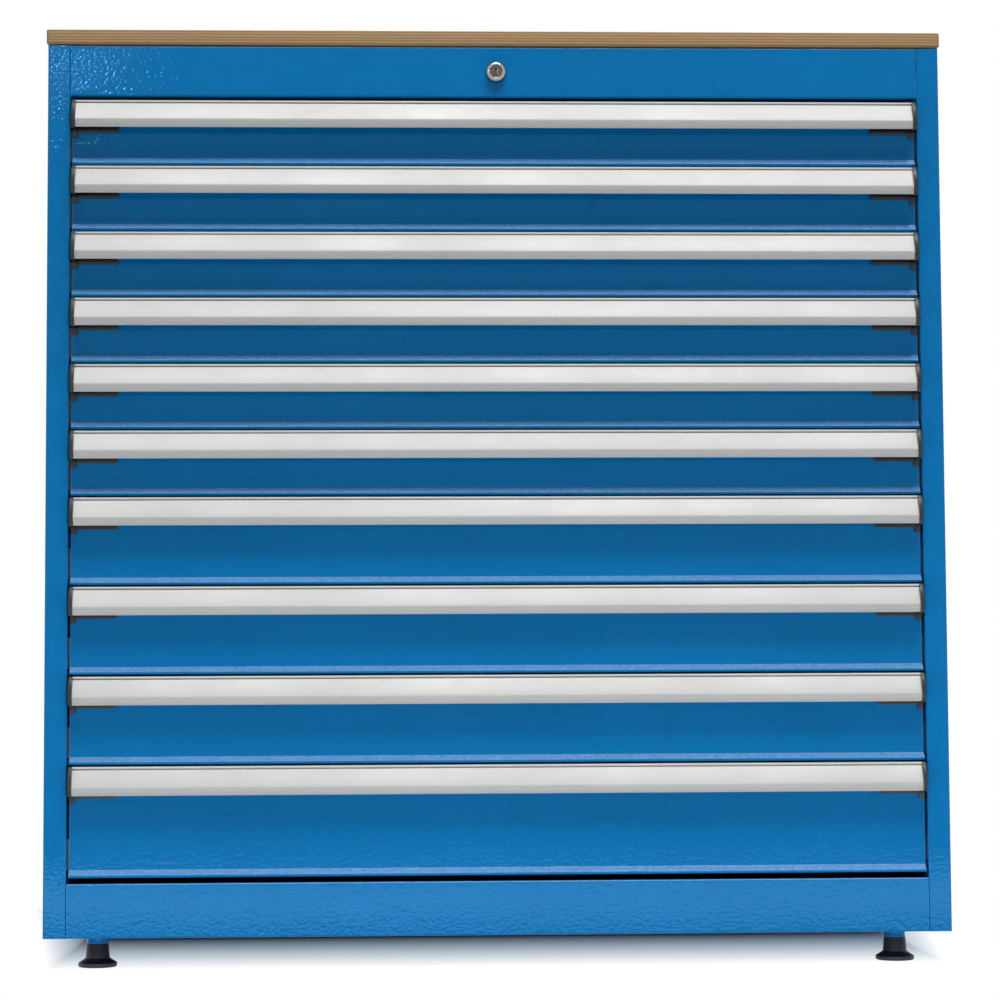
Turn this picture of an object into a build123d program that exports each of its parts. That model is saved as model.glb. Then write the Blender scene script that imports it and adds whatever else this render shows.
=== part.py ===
from build123d import *
import os
from math import cos, hypot, radians, sin

# Steel drawer cabinet with ten drawers, a plywood worktop, four levelling feet
# and one cylinder lock that holds every drawer by a bar behind them.
# Millimetres. X runs to the right, Y to the back and Z up. The origin lies on the
# floor, under the middle of the whole object.

# Casing
body_width = 1014
body_depth = 600
casing_sheet = 1.5
back_sheet = 1.2
bend_radius = 2.0
column_width = 25.5
column_return = 30
rear_flange = 20
fascia_height = 58
plinth_height = 60
plate_lap = 8
plate_flange = 15
hem_width = 9
seam = 0.3

# Fronts, from the top down, in steps of height
front_step = 25
front_steps = (3, 3, 3, 3, 3, 3, 4, 4, 4, 5)
top_margin = 5.5
bottom_margin = 4.5
side_gap = 2.5
front_gap = 2.0
front_sheet = 1.0
front_recess = 6.0
fold_height = 5.5
lip_height = 3.0
fold_radius = 1.6
front_return = 12
skin_drop = 0.5

# Trays
tray_sheet = 1.0
tray_lift = 3.0
tray_headroom = 8.0
tray_hem = 8.0
rear_room = 38.0

# Telescopic rails
rail_height = 35
rail_depth = 9
rail_thickness = 12.7
rail_sheet = 1.2
rail_play = 0.3
rail_length = 530
rail_setback = 20
rail_lift = 4
outer_lip = 4.2
middle_lip = 5.5
post_depth = 40

# Grip handles
handle_height = 32
handle_wall = 1.8
bead_height = 3.4
lower_face = 9.6
channel_depth = 0.8
bead_reach = 6.0
ridge_reach = 15.0
edge_reach = 13.0
ridge_height = 1.4
web_height = 19
bead_radius = 1.2
ridge_radius = 0.5

# Moulded end caps
cap_thickness = 4.5
cap_reach = 17.0
cap_drop = 1.0
cap_brow = 8.2
cap_chin = 13.4
cap_nose_drop = 21.0
tongue_length = 51.5
tongue_thickness = 2.6
tongue_show = 3.6
block_width = 6.5
block_show = 9.0
block_thickness = 6.0

# Worktop
board_thickness = 18
board_overhang = 2
board_corner = 2.0
board_round = 1.0

# Levelling feet
foot_height = 36
foot_disc_diameter = 43.5
foot_disc_side = 5
foot_cone_top = 9.5
foot_stem_diameter = 27
foot_stem_taper = 1.3
foot_inset_x = 55
foot_inset_y = 56
boss_diameter = 24
boss_height = 10
stud_diameter = 10
stud_play = 0.2
stud_socket = 12
stud_above = 22

# Lock
lock_drop = 29.5
lock_flange_diameter = 24
lock_nose_diameter = 18
lock_reach = 8.5
lock_rim = 1.2
barrel_diameter = 19
barrel_play = 0.15
barrel_length = 20
plug_diameter = 14
plug_play = 0.05
plug_sink = 0.6
plug_tail = 3
key_slot_width = 3
key_slot_height = 7.5
key_slot_depth = 5
nut_across = 25
nut_thickness = 4

# Lock shaft and crank
shaft_diameter = 8
shaft_play = 0.05
tang_side = 5
tang_length = 4
tang_play = 0.1
crank_diameter = 20
crank_thickness = 4
crank_radius = 6
crank_pin_diameter = 4
crank_pin_length = 4
crank_swing = 90
crank_gap = 0.5
slot_play = 0.5

# Lock bar behind the drawers
bar_thickness = 4
bar_width = 12
bar_standoff = 3
bar_play = 0.5
head_side = 9
head_thickness = 4
finger_reach = 12
finger_width = 5
finger_stem = 6
finger_height = 8
finger_clearance = 2.5
finger_play = 1.0
tab_length = 19
tab_width = 24
tab_sheet = 2
tab_drop = 12
guide_sheet = 1.5
guide_height = 16
guide_count = 3
hanger_width = 30
hanger_sheet = 2
hanger_foot = 18
hanger_setback = 30

# Places worked out from the sizes above
half_width = body_width / 2
body_bottom = foot_height
front_heights = [front_step * steps for steps in front_steps]
opening_height = top_margin + sum(front_heights) + bottom_margin
body_height = fascia_height + opening_height + plinth_height
body_top = body_bottom + body_height
opening_top = body_top - fascia_height
opening_half = half_width - column_width
front_y = (cap_reach - body_depth) / 2
back_y = front_y + body_depth
plate_front = front_y + column_return + casing_sheet
plate_back = back_y - casing_sheet - back_sheet - seam
plate_half = half_width - casing_sheet - seam
back_face = back_y - casing_sheet - back_sheet

front_half = opening_half - side_gap
panel_y = front_y + front_recess
tray_half = opening_half - rail_thickness
tray_front = panel_y + front_sheet
tray_back = back_face - rear_room
rail_front = front_y + rail_setback
post_front = rail_front + rail_length - post_depth

lock_z = body_top - lock_drop
bar_back = back_face - bar_standoff
bar_front = bar_back - bar_width
crank_back = bar_front - crank_gap
crank_low = crank_radius * sin(radians(crank_swing / 2))
crank_out = crank_radius * cos(radians(crank_swing / 2))


def front_tops():
    """Height of the top of each handle, from the first drawer down."""
    tops = []
    top = opening_top - top_margin
    for height in front_heights:
        tops.append(top)
        top -= height
    return tops


def across(y):
    """Plane that faces the front at depth y, with X to the right and Z up."""
    return Plane(origin=(0, y, 0), x_dir=(1, 0, 0), z_dir=(0, -1, 0))


def tray_bottom(top, height):
    """Underside of the tray of a front that is this high."""
    return top - height + front_gap + tray_lift


def rail_centre(top, height):
    """Middle height of the rails of a drawer."""
    return tray_bottom(top, height) + rail_lift + rail_height / 2


def tab_level(top):
    """Underside of the lock tab at the back of a drawer."""
    return top - tray_headroom - tab_drop


def folded(corners, sheet, side):
    """Outline of a sheet bent along these corners, thickened to one side of them."""
    inner = []
    for index, (x, y) in enumerate(corners):
        normals = []
        for start, end in zip(corners[max(index - 1, 0):index + 1], corners[max(index, 1):]):
            across_x, across_y = start[1] - end[1], end[0] - start[0]
            length = hypot(across_x, across_y)
            normals.append((side * across_x / length, side * across_y / length))
        (before_x, before_y), (after_x, after_y) = normals[0], normals[-1]
        share = sheet / (1 + before_x * after_x + before_y * after_y)
        inner.append((x + share * (before_x + after_x), y + share * (before_y + after_y)))
    return corners + inner[::-1]


def folded_sheet(plane, corners, sheet, side, bends, radius):
    """Section of a bent sheet, with the corners numbered in bends rounded.

    side is +1 to thicken the sheet to the left of the way the corners run, and -1
    to the right.
    """
    with BuildSketch(plane) as section:
        Polygon(*folded(corners, sheet, side), align=None)
        points = section.vertices()
        fillet([points.sort_by_distance(corners[bend])[0] for bend in bends], radius)
    return section.sketch


def write(part, name):
    """Label a finished piece and write its file."""
    part.label = name
    export_step(part, f"parts/{name}.step")


# Casing


def side_panel(side):
    """Side sheet with the front column and the rear flange folded on it."""
    edge = side * half_width
    inner = side * opening_half
    corners = [
        (inner, front_y + column_return),
        (inner, front_y),
        (edge, front_y),
        (edge, back_y),
        (edge - side * rear_flange, back_y),
    ]
    section = folded_sheet(
        Plane.XY.offset(body_bottom), corners, casing_sheet, side, (1, 2, 3), bend_radius)
    with BuildPart() as panel:
        extrude(section, amount=body_height, dir=(0, 0, 1))
    return panel.part


def cross_member(face_bottom, face_height, closed_edge):
    """Folded channel between the columns: the fascia or, turned over, the plinth.

    closed_edge is +1 where the deep return is at the top and -1 at the bottom.
    """
    middle = face_bottom + face_height / 2
    deep = middle + closed_edge * face_height / 2
    open_edge = middle - closed_edge * face_height / 2
    deep_end = plate_front + plate_lap
    corners = [
        (deep_end, deep),
        (front_y, deep),
        (front_y, open_edge),
        (front_y + column_return, open_edge),
        (front_y + column_return, open_edge + closed_edge * hem_width),
    ]
    section = folded_sheet(
        Plane.YZ, corners, casing_sheet, closed_edge, (1, 2, 3), bend_radius)
    with BuildPart() as member:
        extrude(section, amount=opening_half - seam, both=True, dir=(1, 0, 0))
    return member.part


def front_fascia():
    """Top cross member, with the hole for the lock."""
    with BuildPart() as fascia:
        add(cross_member(opening_top, fascia_height, 1))
        with BuildSketch(across(front_y)):
            with Locations((0, lock_z)):
                Circle(barrel_diameter / 2 + barrel_play)
        extrude(amount=-column_return / 2, mode=Mode.SUBTRACT)
    return fascia.part


def plate(level, flange_way):
    """Top or bottom sheet of the casing, with its edges folded by flange_way."""
    depth = plate_back - plate_front
    middle = (plate_back + plate_front) / 2
    start = level if flange_way > 0 else level + casing_sheet - plate_flange
    with BuildPart() as sheet:
        with BuildSketch(Plane.XY.offset(start)):
            with Locations((0, middle)):
                Rectangle(2 * plate_half, depth)
        extrude(amount=plate_flange)
        with BuildSketch(Plane.XY.offset(start + casing_sheet if flange_way > 0 else start)):
            with Locations((0, middle)):
                Rectangle(2 * (plate_half - casing_sheet), depth - 2 * casing_sheet)
        extrude(amount=plate_flange - casing_sheet, mode=Mode.SUBTRACT)
    return sheet.part


def foot_places():
    """Centres of the four levelling feet."""
    reach_x = half_width - foot_inset_x
    return [(x, y) for x in (-reach_x, reach_x)
            for y in (front_y + foot_inset_y, back_y - foot_inset_y)]


def top_plate():
    """Top sheet, under the fascia's return."""
    return plate(body_top - 2 * casing_sheet, -1)


def bottom_plate():
    """Bottom sheet, on the plinth's return, with holes for the studs."""
    level = body_bottom + casing_sheet
    with BuildPart() as sheet:
        add(plate(level, 1))
        with BuildSketch(Plane.XY.offset(level)):
            with Locations(*foot_places()):
                Circle(stud_diameter / 2 + stud_play)
        extrude(amount=casing_sheet, mode=Mode.SUBTRACT)
    return sheet.part


def back_panel():
    """Back sheet, held inside the rear flanges."""
    with BuildPart() as sheet:
        with BuildSketch(Plane.XY.offset(body_bottom)):
            with Locations((0, back_face + back_sheet / 2)):
                Rectangle(2 * (plate_half - rear_flange / 2), back_sheet)
        extrude(amount=body_height)
    return sheet.part


def rear_posts():
    """Two posts that carry the back ends of the rails."""
    wall = half_width - casing_sheet
    low = body_bottom + casing_sheet + plate_flange + seam
    high = body_top - casing_sheet - plate_flange - seam
    corners = [
        (wall, post_front),
        (opening_half, post_front),
        (opening_half, post_front + post_depth),
        (wall, post_front + post_depth),
    ]
    section = folded_sheet(
        Plane.XY.offset(low), corners, casing_sheet, -1, (1, 2), bend_radius)
    with BuildPart() as posts:
        extrude(section, amount=high - low, dir=(0, 0, 1))
        mirror(about=Plane.YZ)
    return posts.part


# Rails


def channel(root, depth, half_height, lip):
    """Corners of a lipped channel that opens away from the casing wall."""
    mouth = root + depth
    throat = mouth - rail_sheet
    web = root + rail_sheet
    upper = [
        (throat, half_height - rail_sheet), (throat, half_height - lip),
        (mouth, half_height - lip), (mouth, half_height), (root, half_height),
    ]
    lower = [(u, -v) for u, v in reversed(upper)]
    return [(web, half_height - rail_sheet)] + upper + lower + [(web, rail_sheet - half_height)]


def hat(root, mouth, half_height, neck):
    """Corners of the drawer's member, a hat section with its crown on the tray."""
    crown = mouth - rail_sheet
    foot = root + rail_sheet
    upper = [
        (crown, neck - rail_sheet), (root, neck - rail_sheet), (root, half_height),
        (foot, half_height), (foot, neck), (mouth, neck),
    ]
    return upper + [(u, -v) for u, v in reversed(upper)]


middle_root = rail_sheet + rail_play
middle_depth = rail_depth - 2 * middle_root
middle_half = rail_height / 2 - rail_sheet - rail_play
hat_root = middle_root + rail_sheet + rail_play
hat_half = middle_half - rail_sheet - rail_play
hat_neck = middle_half - middle_lip - rail_play


def rail_pairs(section, centres):
    """One rail of this section on each side of the opening, at each height."""
    with BuildPart() as rails:
        for centre in centres:
            corners = [(opening_half - u, centre + v) for u, v in section]
            with BuildSketch(across(rail_front)):
                Polygon(*corners, align=None)
            extrude(amount=rail_length, dir=(0, 1, 0))
        mirror(about=Plane.YZ)
    return rails.part


# Drawers


def front_skin(top, height):
    """Front sheet: top return, sunk panel, forward fold, lip and bottom return."""
    skin_top = top - skin_drop
    low = top - height + front_gap
    fold_bottom = low + lip_height
    fold_top = fold_bottom + fold_height
    corners = [
        (panel_y + front_return, skin_top),
        (panel_y, skin_top),
        (panel_y, fold_top),
        (front_y, fold_bottom),
        (front_y, low),
        (front_y + front_return, low),
    ]
    section = folded_sheet(Plane.YZ, corners, front_sheet, 1, (2, 3, 4), fold_radius)
    with BuildPart() as skin:
        extrude(section, amount=front_half, both=True, dir=(1, 0, 0))
        with BuildSketch(Plane.XY.offset(fold_top)):
            with Locations((0, panel_y + front_return / 2)):
                Rectangle(2 * front_half, front_return)
                Rectangle(2 * (front_half - front_sheet), front_return, mode=Mode.SUBTRACT)
        extrude(amount=skin_top - fold_top)
    return skin.part


def tray(top, height):
    """Open tray with inward hems, and the tab that the lock bar catches."""
    low = tray_bottom(top, height)
    high = top - tray_headroom
    depth = tray_back - tray_front
    middle = (tray_back + tray_front) / 2
    tab_middle = tray_back + tab_length / 2
    tip_middle = bar_front - finger_reach + finger_width / 2
    with BuildPart() as box:
        with BuildSketch(Plane.XY.offset(low)):
            with Locations((0, middle)):
                Rectangle(2 * tray_half, depth)
        extrude(amount=high - low)
        with BuildSketch(Plane.XY.offset(low + tray_sheet)):
            with Locations((0, middle)):
                Rectangle(2 * (tray_half - tray_sheet), depth - 2 * tray_sheet)
        extrude(amount=high - low - 2 * tray_sheet, mode=Mode.SUBTRACT)
        with BuildSketch(Plane.XY.offset(high - tray_sheet)):
            with Locations((0, middle)):
                Rectangle(2 * (tray_half - tray_hem), depth - 2 * tray_hem)
        extrude(amount=tray_sheet, mode=Mode.SUBTRACT)
        with BuildSketch(Plane.XY.offset(tab_level(top))):
            with Locations((0, tab_middle)):
                Rectangle(tab_width, tab_length)
            with Locations((0, tip_middle)):
                Rectangle(bar_thickness + 2 * finger_play, finger_width + 2 * finger_play,
                          mode=Mode.SUBTRACT)
        extrude(amount=tab_sheet)
    return box.part


def drawer_box(top, height):
    """Front and tray welded into one piece, with a rail on each side of it."""
    with BuildPart() as box:
        add(front_skin(top, height))
        add(tray(top, height))
    members = rail_pairs(
        hat(hat_root, rail_thickness, hat_half, hat_neck), [rail_centre(top, height)])
    return Compound(children=[box.part, members])


def handle(top):
    """Grip handle: a hooked extrusion with a label channel in its sloping face."""
    back = panel_y
    ridge_top = top - handle_height + lower_face
    low = top - handle_height
    bead = front_y - bead_reach
    ridge = front_y - ridge_reach
    edge = front_y - edge_reach
    channel_top = (bead + channel_depth, top - bead_height)
    channel_foot = (ridge + channel_depth, ridge_top)
    with BuildPart() as grip:
        with BuildSketch(Plane.YZ) as section:
            with BuildLine():
                Polyline(
                    (back, top),
                    (bead, top),
                    (bead, top - bead_height),
                    channel_top,
                    channel_foot,
                    (ridge, ridge_top),
                    (ridge, ridge_top - ridge_height),
                    (edge, low),
                    (edge + handle_wall, low),
                    (ridge + channel_depth + handle_wall, ridge_top - ridge_height),
                    (bead + channel_depth + handle_wall, top - handle_wall),
                    (back - handle_wall, top - handle_wall),
                    (back - handle_wall, top - web_height),
                    (back, top - web_height),
                    close=True,
                )
            make_face()
            corners = section.vertices()
            fillet(corners.sort_by_distance((bead, top))[0], bead_radius)
            fillet([corners.sort_by_distance(place)[0] for place in
                    ((ridge, ridge_top), (ridge, ridge_top - ridge_height), (edge, low))],
                   ridge_radius)
        extrude(amount=front_half - cap_thickness, both=True, dir=(1, 0, 0))
    return grip.part


def end_caps(top):
    """Moulded cap at each end of a handle, with its tongue along the front."""
    low = top - handle_height
    brow = front_y - cap_brow
    nose = front_y - cap_reach
    chin = front_y - cap_chin
    foot = low - cap_drop
    tip = (nose, top - cap_nose_drop)
    tongue_low = low - tongue_show
    with BuildPart() as caps:
        with BuildSketch(Plane.YZ.offset(front_half - cap_thickness)):
            with BuildLine():
                TangentArc(tip, (brow, top), tangent=(0, 1))
                TangentArc(tip, (chin, foot), tangent=(0, -1))
                Polyline((brow, top), (panel_y, top), (panel_y, foot), (chin, foot))
            make_face()
        extrude(amount=cap_thickness)
        with BuildSketch(Plane.XY.offset(tongue_low)):
            with Locations((front_half, panel_y)):
                Rectangle(tongue_length, tongue_thickness, align=(Align.MAX, Align.MAX))
        extrude(amount=top - web_height - tongue_low)
        with BuildSketch(Plane.XY.offset(low - block_show)):
            with Locations((front_half, panel_y)):
                Rectangle(block_width, block_thickness, align=(Align.MAX, Align.MAX))
        extrude(amount=block_show)
        mirror(about=Plane.YZ)
    return caps.part


# Worktop


def worktop():
    """Plywood board with eased edges."""
    with BuildPart() as board:
        with BuildSketch(Plane.XY.offset(body_top)):
            with Locations((0, front_y - board_overhang)):
                Rectangle(body_width + 2 * board_overhang, body_depth + board_overhang,
                          align=(Align.CENTER, Align.MIN))
        extrude(amount=board_thickness)
        chamfer(board.edges().filter_by(Axis.Z), board_corner)
        chamfer(board.edges().group_by(Axis.Z)[-1], board_round)
    return board.part


# Feet


def foot_bosses():
    """Welded bosses that the levelling feet screw into."""
    low = body_bottom - boss_height
    with BuildPart() as bosses:
        with BuildSketch(Plane.XY.offset(low)):
            with Locations(*foot_places()):
                Circle(boss_diameter / 2)
                Circle(stud_diameter / 2 + stud_play, mode=Mode.SUBTRACT)
        extrude(amount=boss_height + casing_sheet)
    return bosses.part


def levelling_feet():
    """Moulded feet: a disc that flares into a tapered stem, keyed to its stud."""
    stem_top = body_bottom - boss_height
    disc = foot_disc_diameter / 2
    stem = foot_stem_diameter / 2
    with BuildPart() as foot:
        with BuildSketch(Plane.XZ):
            with BuildLine():
                Polyline(
                    (0, 0),
                    (disc, 0),
                    (disc, foot_disc_side),
                    (stem, foot_cone_top),
                    (stem - foot_stem_taper, stem_top),
                    (0, stem_top),
                    close=True,
                )
            make_face()
        revolve(axis=Axis.Z)
        with BuildSketch(Plane.XY.offset(stem_top)):
            RegularPolygon(stud_diameter / 2 + stud_play, 6, major_radius=False)
        extrude(amount=-stud_socket - stud_play, mode=Mode.SUBTRACT)
    with BuildPart() as feet:
        with Locations(*foot_places()):
            add(foot.part)
    return feet.part


def foot_studs():
    """Threaded studs between the feet and the casing, hexagonal in the feet."""
    seat = body_bottom - boss_height
    with BuildPart() as studs:
        with BuildSketch(Plane.XY.offset(seat)):
            with Locations(*foot_places()):
                RegularPolygon(stud_diameter / 2, 6, major_radius=False)
        extrude(amount=-stud_socket)
        with BuildSketch(Plane.XY.offset(seat)):
            with Locations(*foot_places()):
                Circle(stud_diameter / 2)
        extrude(amount=boss_height + stud_above)
    return studs.part


# Lock


def lock_housing():
    """Cylinder housing: a conical nose before the fascia and a barrel behind it."""
    bore = plug_diameter / 2 + plug_play
    nose = lock_nose_diameter / 2
    tip = front_y - lock_reach
    with BuildPart() as housing:
        with BuildSketch(Plane.XY.offset(lock_z)):
            with BuildLine():
                Polyline(
                    (bore, tip),
                    (nose, tip),
                    (lock_flange_diameter / 2, front_y - lock_rim),
                    (lock_flange_diameter / 2, front_y),
                    (barrel_diameter / 2, front_y),
                    (barrel_diameter / 2, front_y + barrel_length),
                    (bore, front_y + barrel_length),
                    close=True,
                )
            make_face()
        revolve(axis=Axis((0, 0, lock_z), (0, 1, 0)))
    return housing.part


def lock_nut():
    """Hexagon nut behind the fascia."""
    with BuildPart() as nut:
        with BuildSketch(across(front_y + casing_sheet)):
            with Locations((0, lock_z)):
                RegularPolygon(nut_across / 2, 6, major_radius=False)
                Circle(barrel_diameter / 2 + barrel_play, mode=Mode.SUBTRACT)
        extrude(amount=nut_thickness, dir=(0, 1, 0))
    return nut.part


def lock_plug():
    """Turning plug with its keyway in front and a square socket behind."""
    face = front_y - lock_reach + lock_rim + plug_sink
    tail = front_y + barrel_length + plug_tail
    with BuildPart() as plug:
        with BuildSketch(across(face)):
            with Locations((0, lock_z)):
                Circle(plug_diameter / 2)
        extrude(amount=tail - face, dir=(0, 1, 0))
        with BuildSketch(across(face)):
            with Locations((0, lock_z)):
                Rectangle(key_slot_width, key_slot_height)
        extrude(amount=key_slot_depth, dir=(0, 1, 0), mode=Mode.SUBTRACT)
        with BuildSketch(across(tail)):
            with Locations((0, lock_z)):
                Rectangle(tang_side + 2 * tang_play, tang_side + 2 * tang_play)
        extrude(amount=tang_length + tang_play, dir=(0, -1, 0), mode=Mode.SUBTRACT)
    return plug.part


def lock_shaft():
    """Long shaft from the plug to the crank that lifts the lock bar."""
    start = front_y + barrel_length + plug_tail
    crank_front = crank_back - crank_thickness
    with BuildPart() as shaft:
        with BuildSketch(across(start - tang_length)):
            with Locations((0, lock_z)):
                Rectangle(tang_side, tang_side)
        extrude(amount=tang_length, dir=(0, 1, 0))
        with BuildSketch(across(start)):
            with Locations((0, lock_z)):
                Circle(shaft_diameter / 2)
        extrude(amount=crank_front - start, dir=(0, 1, 0))
        with BuildSketch(across(crank_front)):
            with Locations((0, lock_z)):
                Circle(crank_diameter / 2)
        extrude(amount=crank_thickness, dir=(0, 1, 0))
        with BuildSketch(across(crank_back)):
            with Locations((-crank_out, lock_z - crank_low)):
                Circle(crank_pin_diameter / 2)
        extrude(amount=crank_pin_length, dir=(0, 1, 0))
    return shaft.part


def lock_bar():
    """Comb bar: a spine with a slotted head and one upturned finger a drawer."""
    pin_z = lock_z - crank_low
    slot_height = crank_pin_diameter + 2 * slot_play
    slot_left = -crank_radius - crank_pin_diameter / 2 - slot_play
    slot_right = -crank_out + crank_pin_diameter / 2 + slot_play
    head_low = pin_z - head_side
    tips = [tab_level(top) - finger_clearance for top in front_tops()]
    foot = tips[-1] - finger_height - finger_stem
    with BuildPart() as bar:
        with BuildSketch(Plane.YZ):
            with Locations((bar_front, foot)):
                Rectangle(bar_width, head_low + head_side / 2 - foot,
                          align=(Align.MIN, Align.MIN))
            for tip in tips:
                with Locations((bar_front, tip - finger_height)):
                    Rectangle(finger_reach, finger_stem, align=(Align.MAX, Align.MAX))
                with Locations((bar_front - finger_reach, tip)):
                    Rectangle(finger_width, finger_height + finger_stem,
                              align=(Align.MIN, Align.MAX))
        extrude(amount=bar_thickness / 2, both=True, dir=(1, 0, 0))
        with BuildSketch(across(bar_front)):
            with Locations((-crank_radius / 2, pin_z)):
                Rectangle(2 * head_side, 2 * head_side)
            with Locations((slot_left, pin_z)):
                Rectangle(slot_right - slot_left, slot_height,
                          align=(Align.MIN, Align.CENTER), mode=Mode.SUBTRACT)
        extrude(amount=head_thickness, dir=(0, 1, 0))
    return bar.part


def guide_levels():
    """Middle heights of the bar's guides, between the fingers."""
    tops = front_tops()
    last = len(tops) - 1
    picked = [round(1 + (last - 1) * share / (guide_count - 1)) for share in range(guide_count)]
    return [tab_level(tops[index]) + front_heights[index - 1] / 2 for index in picked]


def lock_bar_guides():
    """Loops on the back sheet that guide the bar, and the shaft's rear hanger."""
    inner_x = bar_thickness + 2 * bar_play
    inner_y = bar_width + 2 * bar_play
    loop_front = bar_front - bar_play - guide_sheet
    hanger_y = crank_back - crank_thickness - hanger_setback
    with BuildPart() as guides:
        for level in guide_levels():
            with BuildSketch(Plane.XY.offset(level - guide_height / 2)):
                with Locations((0, back_face)):
                    Rectangle(inner_x + 2 * guide_sheet, back_face - loop_front,
                              align=(Align.CENTER, Align.MAX))
                with Locations((0, (bar_front + bar_back) / 2)):
                    Rectangle(inner_x, inner_y, mode=Mode.SUBTRACT)
            extrude(amount=guide_height)
        seat = body_top - 2 * casing_sheet
        low = lock_z - hanger_width / 2
        with BuildSketch(across(hanger_y)):
            with Locations((0, low)):
                Rectangle(hanger_width, seat - low, align=(Align.CENTER, Align.MIN))
            with Locations((0, lock_z)):
                Circle(shaft_diameter / 2 + shaft_play, mode=Mode.SUBTRACT)
        extrude(amount=hanger_sheet, dir=(0, 1, 0))
        with BuildSketch(Plane.XY.offset(seat - hanger_sheet)):
            with Locations((0, hanger_y)):
                Rectangle(hanger_width, hanger_foot, align=(Align.CENTER, Align.MIN))
        extrude(amount=hanger_sheet)
    return guides.part


def build():
    """Make every piece and write its file."""
    os.makedirs("parts", exist_ok=True)
    write(side_panel(-1), "left_side_panel")
    write(side_panel(1), "right_side_panel")
    write(front_fascia(), "front_fascia")
    write(cross_member(body_bottom, plinth_height, -1), "plinth")
    write(top_plate(), "top_plate")
    write(bottom_plate(), "bottom_plate")
    write(back_panel(), "back_panel")
    write(rear_posts(), "rear_rail_posts")

    tops = front_tops()
    centres = [rail_centre(top, height) for top, height in zip(tops, front_heights)]
    outer = channel(0, rail_depth, rail_height / 2, outer_lip)
    middle = channel(middle_root, middle_depth, middle_half, middle_lip)
    write(rail_pairs(outer, centres), "cabinet_rails")
    for number, (top, height) in enumerate(zip(tops, front_heights), start=1):
        write(drawer_box(top, height), f"drawer_{number:02d}_box")
        write(handle(top), f"drawer_{number:02d}_handle")
        write(end_caps(top), f"drawer_{number:02d}_end_caps")
        write(rail_pairs(middle, [centres[number - 1]]), f"drawer_{number:02d}_middle_rails")

    write(worktop(), "worktop")
    write(foot_bosses(), "foot_bosses")
    write(levelling_feet(), "levelling_feet")
    write(foot_studs(), "foot_studs")
    write(lock_housing(), "lock_housing")
    write(lock_nut(), "lock_nut")
    write(lock_plug(), "lock_plug")
    write(lock_shaft(), "lock_shaft")
    write(lock_bar(), "lock_bar")
    write(lock_bar_guides(), "lock_bar_guides")


build()
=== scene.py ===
import logging
import math
from collections.abc import Callable, Sequence
from dataclasses import dataclass
from enum import Enum

import bmesh
import bpy
from mathutils import Matrix, Vector


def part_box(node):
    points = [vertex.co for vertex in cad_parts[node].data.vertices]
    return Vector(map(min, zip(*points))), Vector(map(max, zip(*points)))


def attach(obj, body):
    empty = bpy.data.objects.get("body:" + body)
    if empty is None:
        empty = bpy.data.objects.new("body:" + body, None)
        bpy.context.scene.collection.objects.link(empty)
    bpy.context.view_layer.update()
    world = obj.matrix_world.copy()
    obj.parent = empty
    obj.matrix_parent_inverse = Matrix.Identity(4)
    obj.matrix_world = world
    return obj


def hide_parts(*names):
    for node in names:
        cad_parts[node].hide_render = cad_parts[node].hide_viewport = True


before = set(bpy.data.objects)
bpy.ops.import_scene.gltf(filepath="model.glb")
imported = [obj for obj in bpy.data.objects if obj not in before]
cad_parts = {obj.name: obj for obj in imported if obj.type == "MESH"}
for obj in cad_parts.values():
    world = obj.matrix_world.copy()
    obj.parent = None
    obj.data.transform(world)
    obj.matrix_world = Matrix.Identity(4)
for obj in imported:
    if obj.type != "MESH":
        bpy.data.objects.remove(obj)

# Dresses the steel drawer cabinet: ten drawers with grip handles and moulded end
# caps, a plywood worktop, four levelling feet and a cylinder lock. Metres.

LOG = logging.getLogger("drawer_cabinet")
MM = 0.001
DRAWERS = 10
CABINET = "cabinet"
LOCK = "lock"

WHITE = (1.0, 1.0, 1.0)
X, Z = 0, 2
TOUCH = 1e-6
SHORT = 0.01
NOISE_RANGE = (0.3, 0.7)

Colour = tuple[float, float, float]
Point = tuple[float, float, float]
Span = tuple[float, float]
Profile = Sequence[tuple[float, float]]
GroupBuilder = Callable[[], bpy.types.NodeTree]


class Slot(Enum):
    """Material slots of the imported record."""

    BLUE = "blue_paint"
    ALUMINIUM = "anodised_aluminium"
    CAP = "dark_plastic"
    FOOT = "foot_plastic"
    ZINC = "zinc_steel"
    PLYWOOD = "plywood"
    CHROME = "chrome"
    PLUG = "plug_metal"


class Effect(Enum):
    """Shader effects that several finishes share."""

    ORANGE_PEEL = "Orange peel"
    EDGE_WEAR_AND_HIGHLIGHT = "Edge wear and highlight"
    LONG_GRAIN = "Long grain"
    HANDLING = "Handling marks"


def from_screen(code: str) -> Colour:
    """Linear colour of a six-figure screen colour.

    Args:
        code: Red, green and blue as two hexadecimal figures each.

    Returns:
        The three linear channels.
    """
    channels = [int(code[i:i + 2], 16) / 255 for i in (0, 2, 4)]
    return tuple(c / 12.92 if c <= 0.04045 else ((c + 0.055) / 1.055) ** 2.4 for c in channels)


# Shader nodes


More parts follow.
